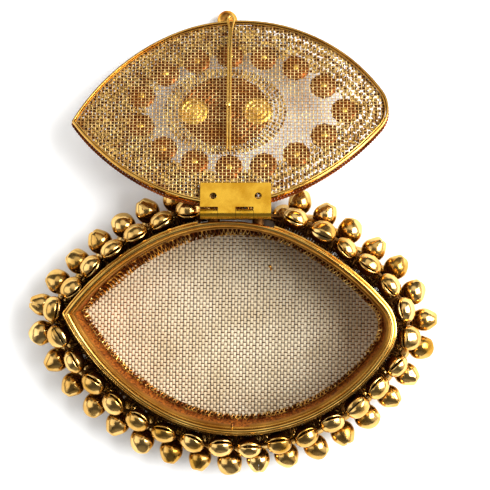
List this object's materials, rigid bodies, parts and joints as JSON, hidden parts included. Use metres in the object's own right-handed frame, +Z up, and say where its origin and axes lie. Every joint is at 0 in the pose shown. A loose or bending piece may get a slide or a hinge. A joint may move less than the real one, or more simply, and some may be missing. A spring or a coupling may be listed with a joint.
{
  "type": "evening bag",
  "caption": "Almond-shaped brass box clutch with a hinged mesh lid, a mesh floor, jingle-bell trim round the wall and a ball clasp, shown open.",
  "frame": {"origin": "on the surface the bag stands on, under the middle of the rim's outline", "axes": "+X along the bag from the sharp tip to the round end, +Y from the clasp side of the box to the hinge, +Z up out of the open box"},
  "size_m": [0.1803, 0.2079, 0.0416],
  "materials": {
    "wall": "satin",
    "rim": "polished",
    "mesh": "satin",
    "bell": "polished",
    "wire": "satin",
    "pellet": "satin",
    "hinge": "polished",
    "ornament": "polished",
    "clasp": "polished"
  },
  "bodies": {
    "base": {"base_wall": "wall", "base_rim": "rim", "rim_wire": "rim", "inner_lip": "rim", "catch_tongue": "rim", "floor_mesh": "mesh", "floor_hoop": "mesh", "base_hinge_leaf": "hinge", "hinge_pin": "hinge", "base_leaf_rivets": "hinge", "hinge_spacers": "hinge", "upper_bells": "bell", "upper_bell_loops": "wire", "upper_pellets": "pellet", "upper_lacing_wire": "wire", "upper_lacing_posts": "wire", "lower_bells": "bell", "lower_bell_loops": "wire", "lower_pellets": "pellet", "lower_lacing_wire": "wire", "lower_lacing_posts": "wire", "foot_bells": "bell", "foot_bell_loops": "wire", "foot_pellets": "pellet", "foot_lacing_wire": "wire", "foot_lacing_posts": "wire"},
    "lid": {"lid_frame": "rim", "lid_inner_strip": "rim", "lid_mesh": "mesh", "lid_hinge_leaf": "hinge", "rope_trim": "ornament", "border_beads": "ornament", "lid_discs": "ornament", "disc_studs": "ornament", "centre_medallion": "ornament", "medallion_bead_ring": "ornament", "medallion_bosses": "ornament", "pivot_rivet": "clasp", "pivot_collar": "clasp"},
    "latch": {"latch_spring": "clasp", "thumb_ball": "clasp", "ball_stem": "clasp"}
  },
  "joints": [
    {"name": "lid_hinge", "type": "hinge", "parent": "base", "child": "lid", "pos_m": [0.00245, 0.0485, 0.0395], "axis": [1, 0, 0], "range_deg": [0, 198]},
    {"name": "latch_swing", "type": "hinge", "parent": "lid", "child": "latch", "pos_m": [-0.0008, 0.09641, 0.0274], "axis": [0, -0.309, -0.9511], "range_deg": [0, 7]}
  ]
}
